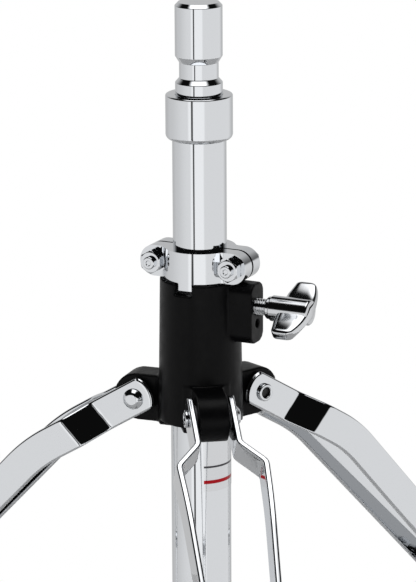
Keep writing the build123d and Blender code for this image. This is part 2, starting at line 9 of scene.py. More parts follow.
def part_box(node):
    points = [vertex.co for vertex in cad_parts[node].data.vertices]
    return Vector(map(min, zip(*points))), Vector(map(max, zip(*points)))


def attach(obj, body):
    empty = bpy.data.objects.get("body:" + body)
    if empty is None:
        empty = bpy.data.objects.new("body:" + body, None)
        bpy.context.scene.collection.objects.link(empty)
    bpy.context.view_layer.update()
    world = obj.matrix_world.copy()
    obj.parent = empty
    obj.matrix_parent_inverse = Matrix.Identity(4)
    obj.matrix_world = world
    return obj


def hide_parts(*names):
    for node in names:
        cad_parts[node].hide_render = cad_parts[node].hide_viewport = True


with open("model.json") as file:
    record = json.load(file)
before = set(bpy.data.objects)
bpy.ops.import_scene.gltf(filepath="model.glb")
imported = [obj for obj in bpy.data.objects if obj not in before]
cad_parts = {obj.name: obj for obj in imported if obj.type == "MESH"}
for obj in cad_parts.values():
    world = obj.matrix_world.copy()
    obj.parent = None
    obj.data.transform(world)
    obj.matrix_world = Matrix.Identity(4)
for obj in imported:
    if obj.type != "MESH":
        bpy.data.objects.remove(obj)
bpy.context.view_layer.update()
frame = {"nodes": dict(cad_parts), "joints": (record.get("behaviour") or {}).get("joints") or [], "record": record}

MM = 0.001
TINY = 1e-6
ROUND_SEGMENTS, MIDDLE_SEGMENTS, SMALL_SEGMENTS = 128, 64, 48

# --- Sizes that the frame gives, in metres ---
POST_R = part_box("post_tube")[1].x
TUBE_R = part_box("base_tube")[1].x
FLOOR_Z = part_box("leg_1_foot")[0].z
JOINTS = {joint["name"]: joint for joint in frame["joints"]}
PIVOT_Z = JOINTS["leg_1_fold"]["pos_m"][2]
PIVOT_R = -JOINTS["leg_1_fold"]["pos_m"][1]
SLIDER_Z = JOINTS["slider_hinge"]["pos_m"][2]

# --- Directions of the legs ---
LEG_AZIMUTHS = {1: radians(-90.0), 2: radians(30.0), 3: radians(150.0)}

# --- Camera: places in metres, lens and sensor in millimetres ---
CAMERA_DISTANCE = 1.5
CAMERA_HEIGHT = 0.3117
CAMERA_TURN = radians(-9.0)
CAMERA_YAW = radians(-0.141)
CAMERA_PITCH = radians(15.17)
CAMERA_ROLL = radians(-0.302)
CAMERA_LENS = 203.8
CAMERA_SENSOR = 36.0
CAMERA_CLIP = (0.05, 20.0)


# ---------------------------------------------------------------- mesh helpers
def mm(value):
    """Millimetres from metres."""
    return value / MM


def spoke(azimuth):
    """Level unit vector away from the stand's axis."""
    return Vector((cos(azimuth), sin(azimuth), 0))


def tangent(azimuth):
    """Level unit vector square to the spoke."""
    return Vector((-sin(azimuth), cos(azimuth), 0))


def add_object(name, mesh):
    """Link a mesh to the scene as a new piece."""
    piece = bpy.data.objects.new(name, mesh)
    bpy.context.scene.collection.objects.link(piece)
    return piece


def mesh_from(name, vertices, faces, normals=None):
    """Smooth mesh from points and faces, with the surface's true normals where they are known."""
    mesh = bpy.data.meshes.new(name)
    mesh.from_pydata([tuple(v) for v in vertices], [], faces)
    mesh.update()
    for polygon in mesh.polygons:
        polygon.use_smooth = True
    if normals is not None:
        mesh.normals_split_custom_set_from_vertices([tuple(n) for n in normals])
    return mesh


def rounded_profile(points, steps=5):
    """Outline of (radius, height, corner radius) points with arcs at the corners: (point, normal) pairs.
    The solid lies to the left of the walk, and a corner radius of 0 keeps a crisp corner."""
    result = []
    count = len(points)
    for index in range(count):
        x, y, corner = points[index]
        before = Vector(points[index - 1][:2]) if index > 0 else None
        after = Vector(points[index + 1][:2]) if index < count - 1 else None
        here = Vector((x, y))
        into = (here - before).normalized() if before is not None else None
        out = (after - here).normalized() if after is not None else None
        if into is None or out is None:
            side = out if into is None else into
            result.append((here, Vector((side.y, -side.x))))
            continue
        turn = into.angle_signed(out) if into.cross(out) != 0 else 0.0
        start_normal = Vector((into.y, -into.x))
        end_normal = Vector((out.y, -out.x))
        if corner <= 0 or abs(turn) < TINY:
            result.append((here, start_normal))
            if abs(turn) > TINY:
                result.append((here.copy(), end_normal))
            continue
        cut = corner * tan(abs(turn) / 2)
        first = here - into * cut
        bulge = 1 if into.cross(out) > 0 else -1
        centre = first - start_normal * corner * bulge
        for step in range(steps + 1):
            angle = abs(turn) * step / steps * bulge
            normal = Vector((
                start_normal.x * cos(angle) - start_normal.y * sin(angle),
                start_normal.x * sin(angle) + start_normal.y * cos(angle)))
            result.append((centre + normal * corner * bulge, normal))
    return result


def lathe(name, points, origin=(0, 0, 0), axis=(0, 0, 1), segments=ROUND_SEGMENTS, closed=False):
    """Turned piece: (radius, height, corner radius) in millimetres, walked with the solid on the left."""
    outline = rounded_profile(points + [points[0]] if closed else points)
    up = Vector((0, 0, 1))
    tilt = up.rotation_difference(Vector(axis)).to_matrix()
    base = Vector(origin)
    vertices, normals, faces = [], [], []
    for point, normal in outline:
        for step in range(segments):
            out = spoke(2 * pi * step / segments)
            vertices.append(base + tilt @ (out * point.x * MM + up * point.y * MM))
            normals.append(tilt @ (out * normal.x + up * normal.y))
    for row in range(len(outline) - 1):
        if (outline[row][0] - outline[row + 1][0]).length < TINY:
            continue
        for step in range(segments):
            right = (step + 1) % segments
            a, b = row * segments + step, row * segments + right
            faces.append((a, b, b + segments, a + segments))
    return add_object(name, mesh_from(name, vertices, faces, normals))


def join_meshes(name, pieces):
    """One piece made of several objects' meshes."""
    work = bmesh.new()
    for piece in pieces:
        part = piece.data.copy()
        part.transform(piece.matrix_world)
        work.from_mesh(part)
        bpy.data.meshes.remove(part)
        bpy.data.objects.remove(piece)
    mesh = bpy.data.meshes.new(name)
    work.to_mesh(mesh)
    work.free()
    return add_object(name, mesh)


def crisp(piece, angle):
    """Smooth shading that stops at edges sharper than an angle in degrees."""
    work = bmesh.new()
    work.from_mesh(piece.data)
    for edge in work.edges:
        edge.smooth = len(edge.link_faces) == 2 and edge.calc_face_angle(0) < radians(angle)
    for face in work.faces:
        face.smooth = True
    work.to_mesh(piece.data)
    work.free()
    return piece


WELD_DISTANCE = 0.002 * MM
FLAT_ANGLE = radians(0.5)


def cad_copy(node, name):
    """The CAD node's mesh as a new piece, welded and freed of needless edges."""
    mesh = frame["nodes"][node].data.copy()
    mesh.name = name
    work = bmesh.new()
    work.from_mesh(mesh)
    bmesh.ops.remove_doubles(work, verts=work.verts, dist=WELD_DISTANCE)
    bmesh.ops.dissolve_limit(work, angle_limit=FLAT_ANGLE, verts=work.verts, edges=work.edges)
    work.to_mesh(mesh)
    work.free()
    mesh.materials.clear()
    for layer in [a for a in mesh.attributes if a.name == "custom_normal"]:
        mesh.attributes.remove(layer)
    return add_object(name, mesh)


EDGE_ANGLE = radians(25.0)


def soften(piece, width, segments):
    """Round a piece's crisp edges to a width in millimetres."""
    bevel = piece.modifiers.new("edges", "BEVEL")
    bevel.width = width * MM
    bevel.segments = segments
    bevel.limit_method = "ANGLE"
    bevel.angle_limit = EDGE_ANGLE
    bevel.harden_normals = True
    bevel.use_clamp_overlap = True
    for polygon in piece.data.polygons:
        polygon.use_smooth = True
    return piece


def apply_modifiers(piece):
    """Bake a piece's modifiers into its mesh."""
    view = bpy.context.evaluated_depsgraph_get()
    made = bpy.data.meshes.new_from_object(piece.evaluated_get(view))
    piece.modifiers.clear()
    piece.data = made
    return piece


CAST_SMOOTHING = 0.5


def cast(piece, voxel, rounds):
    """Turn a sharp solid into a casting: an even skin whose edges and inner corners are rounded."""
    remesh = piece.modifiers.new("skin", "REMESH")
    remesh.mode = "VOXEL"
    remesh.voxel_size = voxel * MM
    remesh.use_smooth_shade = True
    smooth = piece.modifiers.new("round", "SMOOTH")
    smooth.factor = CAST_SMOOTHING
    smooth.iterations = rounds
    return apply_modifiers(piece)


def finish_piece(piece, body, material, slot, *nodes):
    """Give a piece its body, its material and the CAD nodes that it stands for."""
    piece.data.materials.clear()
    piece.data.materials.append(material)
    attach(piece, body)
    if nodes:
        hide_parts(*nodes)
    return piece


# ---------------------------------------------------------------- materials
NOISE_SPREAD = (0.3, 0.7)
POLISH_SCALE = 60.0
RIPPLE_SCALE = 45.0
FINE_DETAIL, COARSE_DETAIL = 3.0, 2.0

DECAL_SILVER = (0.62, 0.63, 0.645)
DECAL_RED = (0.33, 0.01, 0.015)
DECAL_DARK = (0.06, 0.06, 0.065)
DECAL_ROUGHNESS = (0.07, 0.12)
DARK_STRIPE = (0.42, 0.455)
RED_STRIPE = (0.14, 0.20)
DECAL_LOW, DECAL_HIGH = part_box("tube_decal")[0].z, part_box("tube_decal")[1].z


def new_material(name):
    """Node material with its Principled shader, as (material, nodes, links, shader)."""
    material = bpy.data.materials.new(name)
    material.use_nodes = True
    nodes, links = material.node_tree.nodes, material.node_tree.links
    return material, nodes, links, nodes["Principled BSDF"]


def add_noise(nodes, links, scale, detail=FINE_DETAIL):
    """Noise laid out in the piece's own coordinates."""
    place = nodes.new("ShaderNodeTexCoord")
    noise = nodes.new("ShaderNodeTexNoise")
    noise.inputs["Scale"].default_value = scale
    noise.inputs["Detail"].default_value = detail
    links.new(place.outputs["Object"], noise.inputs["Vector"])
    return noise


def noise_to(nodes, links, noise, low, high, target):
    """Carry noise, stretched to low..high, into a shader input."""
    spread = nodes.new("ShaderNodeMapRange")
    spread.inputs["From Min"].default_value = NOISE_SPREAD[0]
    spread.inputs["From Max"].default_value = NOISE_SPREAD[1]
    spread.inputs["To Min"].default_value = low
    spread.inputs["To Max"].default_value = high
    links.new(noise.outputs["Fac"], spread.inputs["Value"])
    links.new(spread.outputs["Result"], target)


def add_bump(nodes, links, height, depth, shader):
    """Raise the surface by a height texture, depth in millimetres."""
    bump = nodes.new("ShaderNodeBump")
    bump.inputs["Strength"].default_value = 1.0
    bump.inputs["Distance"].default_value = depth * MM
    links.new(height, bump.inputs["Height"])
    links.new(bump.outputs["Normal"], shader.inputs["Normal"])


def chrome_material(name, tint, roughness, ripple):
    """Plated or bare metal with faint uneven polish, its ripple in millimetres."""
    material, nodes, links, shader = new_material(name)
    shader.inputs["Base Color"].default_value = (*tint, 1)
    shader.inputs["Metallic"].default_value = 1.0
    polish = add_noise(nodes, links, POLISH_SCALE)
    noise_to(nodes, links, polish, *roughness, shader.inputs["Roughness"])
    waves = add_noise(nodes, links, RIPPLE_SCALE, COARSE_DETAIL)
    add_bump(nodes, links, waves.outputs["Fac"], ripple, shader)
    return material


def coated_material(name, tint, roughness, grain, depth, specular=0.5):
    """Paint, plastic or rubber with a fine grain, its depth in millimetres."""
    material, nodes, links, shader = new_material(name)
    shader.inputs["Base Color"].default_value = (*tint, 1)
    shader.inputs["Metallic"].default_value = 0.0
    shader.inputs["Specular IOR Level"].default_value = specular
    patches = add_noise(nodes, links, grain / 4)
    noise_to(nodes, links, patches, *roughness, shader.inputs["Roughness"])
    grains = add_noise(nodes, links, grain, COARSE_DETAIL)
    add_bump(nodes, links, grains.outputs["Fac"], depth, shader)
    return material


def decal_material(name):
    """Silver film with one red and one dark plain stripe round it."""
    material, nodes, links, shader = new_material(name)
    place = nodes.new("ShaderNodeTexCoord")
    split = nodes.new("ShaderNodeSeparateXYZ")
    links.new(place.outputs["Object"], split.inputs["Vector"])
    height = nodes.new("ShaderNodeMapRange")
    height.inputs["From Min"].default_value = DECAL_LOW
    height.inputs["From Max"].default_value = DECAL_HIGH
    links.new(split.outputs["Z"], height.inputs["Value"])
    ramp = nodes.new("ShaderNodeValToRGB")
    ramp.color_ramp.interpolation = "CONSTANT"
    stripes = ((0.0, DECAL_SILVER), (RED_STRIPE[0], DECAL_RED), (RED_STRIPE[1], DECAL_SILVER),
               (DARK_STRIPE[0], DECAL_DARK), (DARK_STRIPE[1], DECAL_SILVER))
    while len(ramp.color_ramp.elements) < len(stripes):
        ramp.color_ramp.elements.new(1.0)
    for element, (position, tint) in zip(ramp.color_ramp.elements, stripes):
        element.position = position
        element.color = (*tint, 1)
    links.new(height.outputs["Result"], ramp.inputs["Fac"])
    links.new(ramp.outputs["Color"], shader.inputs["Base Color"])
    shader.inputs["Metallic"].default_value = 1.0
    polish = add_noise(nodes, links, POLISH_SCALE)
    noise_to(nodes, links, polish, *DECAL_ROUGHNESS, shader.inputs["Roughness"])
    return material


CHROME = chrome_material("chrome", (0.655, 0.67, 0.69), roughness=(0.03, 0.065), ripple=0.002)
CAST_CHROME = chrome_material("chrome_cast", (0.60, 0.61, 0.625), roughness=(0.06, 0.11), ripple=0.012)
# Near-black metal that paints the shade inside the hollow rivet ends.
PAINTED_HOLE_SHADE = chrome_material("painted_hole_shade", (0.05, 0.05, 0.05), roughness=(0.3, 0.5), ripple=0.01)
HUB_BLACK = coated_material(
    "hub_black", (0.0035, 0.0035, 0.004), roughness=(0.30, 0.42), grain=900, depth=0.02, specular=0.09)
NYLON = coated_material("nylon", (0.30, 0.30, 0.31), roughness=(0.45, 0.55), grain=500, depth=0.01)
RUBBER = coated_material(
    "rubber", (0.012, 0.012, 0.012), roughness=(0.65, 0.80), grain=700, depth=0.05, specular=0.3)
BRASS = chrome_material("brass", (0.55, 0.38, 0.13), roughness=(0.15, 0.25), ripple=0.004)
DECAL = decal_material("decal")
MATERIALS = {
    "chrome": CHROME, "hub_black": HUB_BLACK, "nylon": NYLON,
    "rubber": RUBBER, "brass": BRASS, "decal": DECAL}
SLOTS = {part["node"]: part["material_slot"] for part in frame["record"]["subparts"]}
BODIES = {node: body for body, names in frame["record"]["behaviour"]["bodies"].items() for node in names}


def stand_for(piece, node, material=None):
    """Let a piece take a CAD node's place, with the node's own body and the material of its slot."""
    return finish_piece(piece, BODIES[node], material or MATERIALS[SLOTS[node]], SLOTS[node], node)


def turned_node(node, points, **place):
    """A CAD node rebuilt as one turned piece."""
    return stand_for(lathe(node + "_look", points, **place), node)


FACE_WEIGHT = 100


def even_normals(piece):
    """Let large flat faces keep their flat shading beside small rounded edges."""
    weigh = piece.modifiers.new("normals", "WEIGHTED_NORMAL")
    weigh.keep_sharp = True
    weigh.weight = FACE_WEIGHT
    return piece


def softened_node(node, width, segments):
    """A CAD node rebuilt with rounded edges."""
    piece = soften(cad_copy(node, node + "_look"), width, segments)
    return stand_for(apply_modifiers(even_normals(piece)), node)


# ---------------------------------------------------------------- turned pieces
POST_MM, TUBE_MM = mm(POST_R), mm(TUBE_R)
POST_LOW, POST_HIGH = mm(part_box("post_tube")[0].z), mm(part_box("post_tube")[1].z)
TUBE_LOW, TUBE_HIGH = mm(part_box("base_tube")[0].z), mm(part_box("base_tube")[1].z)
POST_BORE, TUBE_BORE = 11.2, 13.1
COLLAR_LOW, COLLAR_R = mm(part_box("post_collar")[0].z), mm(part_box("post_collar")[1].x)
SPIGOT_R, SPIGOT_NECK, SPIGOT_TOP_R = 11.1, 9.2, 9.5
SPIGOT_HIGH = mm(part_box("top_spigot")[1].z)
SPIGOT_STEM_LOW, SPIGOT_RING_HIGH = -40.0, 5.6
SPIGOT_NECK_LOW, SPIGOT_NECK_HIGH = 7.7, 15.0
SPIGOT_HEAD_LOW, SPIGOT_HEAD_HIGH = 18.1, 41.6

turned_node("post_tube", [
    (POST_BORE, POST_LOW, 0.3), (POST_MM, POST_LOW, 0.5),
    (POST_MM, POST_HIGH, 0.2), (POST_BORE, POST_HIGH, 0.2)], closed=True)
turned_node("base_tube", [
    (TUBE_BORE, TUBE_LOW, 0.2), (TUBE_MM, TUBE_LOW, 0.4),
    (TUBE_MM, TUBE_HIGH, 0.3), (TUBE_BORE, TUBE_HIGH, 0.2)], closed=True)
turned_node("top_spigot", [
    (0, SPIGOT_STEM_LOW, 0), (POST_BORE, SPIGOT_STEM_LOW, 0.8), (POST_BORE, POST_HIGH, 0),
    (SPIGOT_R, POST_HIGH, 0), (SPIGOT_R, SPIGOT_RING_HIGH, 0.6), (SPIGOT_NECK, SPIGOT_NECK_LOW, 0.8),
    (SPIGOT_NECK, SPIGOT_NECK_HIGH, 0.9), (SPIGOT_R, SPIGOT_HEAD_LOW, 0.7),
    (SPIGOT_R, SPIGOT_HEAD_HIGH, 0.5), (SPIGOT_TOP_R, SPIGOT_HIGH, 0.45), (0, SPIGOT_HIGH, 0)])
turned_node("post_collar", [
    (POST_MM, COLLAR_LOW, 0.4), (COLLAR_R, COLLAR_LOW, 2.6), (COLLAR_R, 0, 0.8), (SPIGOT_R, 0, 0.5),
    (SPIGOT_R, POST_HIGH, 0.1), (POST_MM, POST_HIGH, 0.1)], closed=True)
CAP_LOW, CAP_HIGH = mm(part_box("base_tube_cap")[0].z), mm(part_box("base_tube_cap")[1].z)
turned_node("base_tube_cap", [
    (0, CAP_LOW, 0), (TUBE_MM, CAP_LOW, 1.0), (TUBE_MM, TUBE_LOW, 0.2), (TUBE_BORE, TUBE_LOW, 0.1),
    (TUBE_BORE, CAP_HIGH, 1.0), (0, CAP_HIGH, 0)])


DECAL_AZ, DECAL_HALF = radians(-39.0), radians(55.0)
DECAL_STEPS = 64
DECAL_EDGE = 0.1 * MM


def decal_sheet():
    """Thin film on the tube, smooth round the tube and crisp at its edges."""
    source = frame["nodes"]["tube_decal"].data
    outer = max(sqrt(v.co.x**2 + v.co.y**2) for v in source.vertices)
    column = ((TUBE_R, DECAL_LOW), (outer, DECAL_LOW + DECAL_EDGE),
              (outer, DECAL_HIGH - DECAL_EDGE), (TUBE_R, DECAL_HIGH))
    vertices, normals, faces = [], [], []
    for step in range(DECAL_STEPS + 1):
        out = spoke(DECAL_AZ - DECAL_HALF + 2 * DECAL_HALF * step / DECAL_STEPS)
        for radius, height in column:
            vertices.append(out * radius + Vector((0, 0, height)))
            normals.append(out)
    rows = len(column)
    for step in range(DECAL_STEPS):
        for row in range(rows - 1):
            a = rows * step + row
            faces.append((a, a + rows, a + rows + 1, a + 1))
    return add_object("tube_decal_look", mesh_from("tube_decal_look", vertices, faces, normals))


stand_for(decal_sheet(), "tube_decal")

# --- Rivets and washers at the leg pivots, in millimetres ---
HIP_Y, STRAP_T = 9.7, 3.0
LUG_HALF = 7.15
STRAP_CLEAR = 0.05
HEAD_Y = HIP_Y + STRAP_T / 2 + STRAP_CLEAR
PIVOT_SHANK_R, PIVOT_BORE_R, PIVOT_BORE_DEPTH = 3.0, 2.5, 6.0
ROLLED_R, ROLLED_T = 4.3, 1.5
BORE_CUP_R, BORE_CUP_LIP_R = 2.35, 2.48
BORE_CUP_DROP, BORE_CUP_LIP_DROP = 0.55, 0.5
DOME_R, DOME_RIM_T, DOME_FLAT_R, DOME_T = 5.0, 0.7, 3.1, 2.6
WASHER_R = 6.0
WASHER_OUTER_Y = HIP_Y - STRAP_T / 2 - STRAP_CLEAR
WASHER = [
    (PIVOT_SHANK_R, LUG_HALF, 0.1), (WASHER_R, LUG_HALF, 0.3),
    (WASHER_R, WASHER_OUTER_Y, 0.3), (PIVOT_SHANK_R, WASHER_OUTER_Y, 0.1)]

# --- Small rivets: heads as shares of their radius and thickness ---
HEAD_FLAT, HEAD_ROUND = 0.62, 0.5
HEAD_RIM, HEAD_RIM_ROUND = 0.3, 0.25


def rivet_points(shank, head_r, head_t, head_y):
    """Solid rivet with a domed head at each end, as an outline to turn."""
    flat_r, dome_round = head_r * HEAD_FLAT, head_r * HEAD_ROUND
    rim, rim_round = head_t * HEAD_RIM, head_t * HEAD_RIM_ROUND
    top = head_y + head_t
    return [
        (0, -top, 0), (flat_r, -top, dome_round), (head_r, -head_y - rim, rim_round), (head_r, -head_y, 0.1),
        (shank, -head_y, 0), (shank, head_y, 0),
        (head_r, head_y, 0.1), (head_r, head_y + rim, rim_round), (flat_r, top, dome_round), (0, top, 0)]


def pivot_rivet_points():
    """Semi-tubular rivet: rolled hollow end below, domed head above."""
    end, bore_end = -HEAD_Y - ROLLED_T, -HEAD_Y + PIVOT_BORE_DEPTH
    return [
        (0, bore_end, 0), (PIVOT_BORE_R, bore_end, 0.3), (PIVOT_BORE_R, end, 0.6), (ROLLED_R, end, 0.7),
        (ROLLED_R, -HEAD_Y, 0.4), (PIVOT_SHANK_R, -HEAD_Y, 0), (PIVOT_SHANK_R, HEAD_Y, 0),
        (DOME_R, HEAD_Y, 0.1), (DOME_R, HEAD_Y + DOME_RIM_T, 0.6),
        (DOME_FLAT_R, HEAD_Y + DOME_T, 2.4), (0, HEAD_Y + DOME_T, 0)]


def rivet_bore_points():
    """Dark cup inside a rolled rivet end, down to the strap's face: painted shade of the hollow."""
    end = -HEAD_Y - ROLLED_T
    return [
        (0, -HEAD_Y, 0), (BORE_CUP_R, -HEAD_Y, 0.3), (BORE_CUP_R, end + BORE_CUP_DROP, 0.2),
        (BORE_CUP_LIP_R, end + BORE_CUP_LIP_DROP, 0)]


rivets, washers, bores = [], [], []
for number, azimuth in LEG_AZIMUTHS.items():
    pivot = spoke(azimuth) * PIVOT_R + Vector((0, 0, PIVOT_Z))
    rivets.append(lathe(f"rivet_{number}", pivot_rivet_points(), pivot, tangent(azimuth), MIDDLE_SEGMENTS))
    bores.append(lathe(f"bore_{number}", rivet_bore_points(), pivot, tangent(azimuth), SMALL_SEGMENTS))
    for side in (-1, 1):
        across = tangent(azimuth) * side
        washer = lathe(f"washer_{number}_{side}", WASHER, pivot, across, MIDDLE_SEGMENTS, closed=True)
        washers.append(washer)


# ---------------------------------------------------------------- legs
# Millimetres and angles. A leg's flat frame starts at its pivot, with x along the straps' upper run,
# y across the leg and z square to both.
LEG_SLOPE = radians(31.3)
KNEE_X, KNEE_TURN, KNEE_R = 57.0, radians(15.7), 85.0
STRAP_W = 16.3
STRAP_ROUND, ROUND_STEPS = 1.0, 5
WIDTH_PARTS = 14
END_RINGS, END_PULL = 4, 0.98
EYE_REACH, EYE_SAG = 9.2, 3.5
EYE_R = (STRAP_W**2 / 4 + EYE_SAG**2) / (2 * EYE_SAG)
EYE_FADE = 10.0
FLARE_SKEW = radians(12.0)
FLARE_START, FLARE_END, FLARE_Y = 20.3, 32.3, 20.3
NARROW_END, FOOT_Y = 365.0, 4.2
STRAP_BEND_R, NARROW_BEND_R = 4.0, 60.0
BEND_STEPS, KNEE_STEPS = 10, 24
STRAP_END_HEIGHT, FOOT_RIVET_INSET = 15.0, 9.0
STRUT_LENGTH = 185.0
STATION_STEP = 1.5

KNEE_DROP = KNEE_X * sin(LEG_SLOPE)
RUN_DROP = mm(PIVOT_Z) - mm(FLOOR_Z) - STRAP_END_HEIGHT - KNEE_DROP
RUN_LENGTH = RUN_DROP / sin(LEG_SLOPE + KNEE_TURN)


def lower_run(distance):
    """Flat-frame (x, z) on the leg's lower run."""
    return Vector((KNEE_X + distance * cos(KNEE_TURN), -distance * sin(KNEE_TURN)))


STRAP_END = lower_run(RUN_LENGTH)
HALF_CHORD = KNEE_X * cos(KNEE_TURN)
STRUT_FLAT = lower_run(-HALF_CHORD + sqrt(HALF_CHORD**2 + STRUT_LENGTH**2 - KNEE_X**2))
FOOT_RIVET = lower_run(RUN_LENGTH - FOOT_RIVET_INSET)


def along_strap(point):
    """Distance of a flat-frame point along the line that the strap's bends are square to."""
    return point[0] * cos(FLARE_SKEW) - point[1] * sin(FLARE_SKEW)


def strap_y(point):
    """Middle of the strap's thickness past the flare."""
    share = (along_strap(point) - FLARE_END) / (NARROW_END - FLARE_END)
    return FLARE_Y + min(share, 1) * (FOOT_Y - FLARE_Y)


def resample(outline, step):
    """Stations about a step apart along an outline of (point, normal) pairs."""
    stations = [outline[0]]
    for (a, a_normal), (b, b_normal) in zip(outline, outline[1:]):
        length = (b - a).length
        if length < TINY:
            continue
        parts = max(1, round(length / step))
        for part in range(1, parts + 1):
            share = part / parts
            stations.append((a.lerp(b, share), a_normal.lerp(b_normal, share).normalized()))
    return stations


def ribbon_table(offset):
    """The strap's run across the leg, moved sideways by an offset, as points in order along the strap."""
    far = along_strap(STRAP_END) + STRAP_W
    path = rounded_profile([
        (-2 * EYE_REACH, HIP_Y, 0), (FLARE_START, HIP_Y, STRAP_BEND_R), (FLARE_END, FLARE_Y, STRAP_BEND_R),
        (NARROW_END, FOOT_Y, NARROW_BEND_R), (far, FOOT_Y, 0)], BEND_STEPS)
    return [point - normal * offset for point, normal in path]


def ribbon_y(table, x):
    """Sideways place of a run from ribbon_table at a distance along the strap."""
    for a, b in zip(table, table[1:]):
        if a.x <= x <= b.x and b.x > a.x:
            return a.y + (b.y - a.y) * (x - a.x) / (b.x - a.x)
    return table[-1].y


def strap_section():
    """Rounded-rectangle section as (across the width, across the thickness), with points on its flats."""
    half_w, half_t = STRAP_W / 2, STRAP_T / 2
    corners = ((1, 1), (-1, 1), (-1, -1), (1, -1))
    loop = []
    for index, (sx, sy) in enumerate(corners):
        for step in range(ROUND_STEPS + 1):
            angle = pi / 2 * (index + step / ROUND_STEPS)
            loop.append((sx * (half_w - STRAP_ROUND) + STRAP_ROUND * cos(angle),
                         sy * (half_t - STRAP_ROUND) + STRAP_ROUND * sin(angle)))
        if index % 2 == 0:
            for step in range(1, WIDTH_PARTS):
                loop.append((sx * (half_w - STRAP_ROUND) * (1 - 2 * step / WIDTH_PARTS), sy * half_t))
    return loop


def leg_matrix(azimuth):
    """From the leg's flat frame, in millimetres, to the model."""
    return (Matrix.Rotation(azimuth, 4, "Z") @ Matrix.Translation((PIVOT_R, 0, PIVOT_Z))
            @ Matrix.Rotation(LEG_SLOPE, 4, "Y") @ Matrix.Scale(MM, 4))


def strap_piece(name, azimuth, side):
    """One leg strap: a rounded strip bent at the flare and the knee, with a rounded eye end."""
    centre = resample(rounded_profile([
        (-EYE_REACH, 0, 0), (KNEE_X, 0, KNEE_R), (STRAP_END.x, STRAP_END.y, 0)], KNEE_STEPS), STATION_STEP)
    section = strap_section()
    tables = {offset: ribbon_table(offset) for offset in {round(across, 4) for _, across in section}}
    place = leg_matrix(azimuth)
    vertices, faces = [], []
    count = len(section)

    def add_ring(point, normal, ahead, inset):
        """One section of the strap, drawn in by an inset where the strap's ends are rounded."""
        direction = Vector((-normal.y, normal.x))
        fade = max(0.0, 1 - (point.x + EYE_REACH) / EYE_FADE)
        for along, across in section:
            width = along * (1 - inset / (STRAP_W / 2))
            pull = (inset if across > 0 else -inset) * END_PULL
            eye = (EYE_R - sqrt(EYE_R**2 - width**2)) * fade
            spot = point - normal * width + direction * (ahead + eye)
            y = ribbon_y(tables[round(across, 4)], along_strap(spot)) - pull
            vertices.append(place @ Vector((spot.x, y * side, spot.y)))

    insets = [STRAP_ROUND * (1 - sin(pi / 2 * ring / END_RINGS)) for ring in range(END_RINGS)]
    for inset in insets:
        add_ring(*centre[0], inset, inset)
    for point, normal in centre[1:-1]:
        add_ring(point, normal, 0, 0)
    for inset in reversed(insets):
        add_ring(*centre[-1], -inset, inset)
    rings = len(vertices) // count
    for ring in range(rings - 1):
        for step in range(count):
            right = (step + 1) % count
            a, b = ring * count + step, ring * count + right
            quad = (a, b, b + count, a + count)
            faces.append(quad if side > 0 else quad[::-1])
    for first_index in (0, (rings - 1) * count):
        for step in range(count // 2 - 1):
            quad = (step, step + 1, count - 2 - step, count - 1 - step)
            faces.append([first_index + index for index in quad])
    piece = add_object(name, mesh_from(name, vertices, faces))
    return apply_modifiers(even_normals(face_outward(piece)))


def face_outward(piece):
    """Turn every face outward."""
    work = bmesh.new()
    work.from_mesh(piece.data)
    bmesh.ops.recalc_face_normals(work, faces=work.faces)
    work.to_mesh(piece.data)
    work.free()
    return piece


def cross_piece(name, azimuth, flat, points):
    """Turned piece that lies across a leg at a flat-frame point."""
    place = leg_matrix(azimuth)
    return lathe(name, points, place @ Vector((flat.x, 0, flat.y)), tangent(azimuth), SMALL_SEGMENTS)


# --- Small rivet: shank radius, head radius and head thickness ---
SMALL_RIVET = (2.5, 4.4, 1.8)
RIVET_REACH = 0.1
FOOT_HALF = 12.0
STRUT_GAP = strap_y(STRUT_FLAT) - STRAP_T / 2
SLEEVE_BORE, SLEEVE_R, SLEEVE_INNER_Y = 2.5, 4.5, 2.2
SLEEVE = [
    (SLEEVE_BORE, SLEEVE_INNER_Y, 0.1), (SLEEVE_R, SLEEVE_INNER_Y, 0.4),
    (SLEEVE_R, STRUT_GAP, 0.2), (SLEEVE_BORE, STRUT_GAP, 0.1)]
STRUT_RIVET = rivet_points(*SMALL_RIVET, STRUT_GAP + STRAP_T + RIVET_REACH)
FOOT_RIVET_OUTLINE = rivet_points(*SMALL_RIVET, FOOT_HALF - RIVET_REACH)
FOOT_VOXEL, FOOT_ROUNDS = 0.7, 5
STRUT_EDGE = 0.8

for number, azimuth in LEG_AZIMUTHS.items():
    leg = f"leg_{number}"
    stand_for(strap_piece(f"{leg}_strap_left_look", azimuth, 1), f"{leg}_strap_left")
    stand_for(strap_piece(f"{leg}_strap_right_look", azimuth, -1), f"{leg}_strap_right")
    strut_rivet = cross_piece(f"{leg}_strut_rivet_look", azimuth, STRUT_FLAT, STRUT_RIVET)
    stand_for(strut_rivet, f"{leg}_strut_rivet")
    foot_rivet = cross_piece(f"{leg}_foot_rivet_look", azimuth, FOOT_RIVET, FOOT_RIVET_OUTLINE)
    stand_for(foot_rivet, f"{leg}_foot_rivet")
    strut_pivot = leg_matrix(azimuth) @ Vector((STRUT_FLAT.x, 0, STRUT_FLAT.y))
    sleeves = []
    for side in (-1, 1):
        across = tangent(azimuth) * side
        sleeve = lathe(f"{leg}_sleeve_{side}", SLEEVE, strut_pivot, across, SMALL_SEGMENTS, closed=True)
        sleeves.append(sleeve)
    stand_for(join_meshes(f"{leg}_strut_sleeves_look", sleeves), f"{leg}_strut_sleeves")
    foot = cad_copy(f"{leg}_foot", f"{leg}_foot_look")
    stand_for(cast(foot, FOOT_VOXEL, FOOT_ROUNDS), f"{leg}_foot")
    softened_node(f"strut_{number}", STRUT_EDGE, 3)

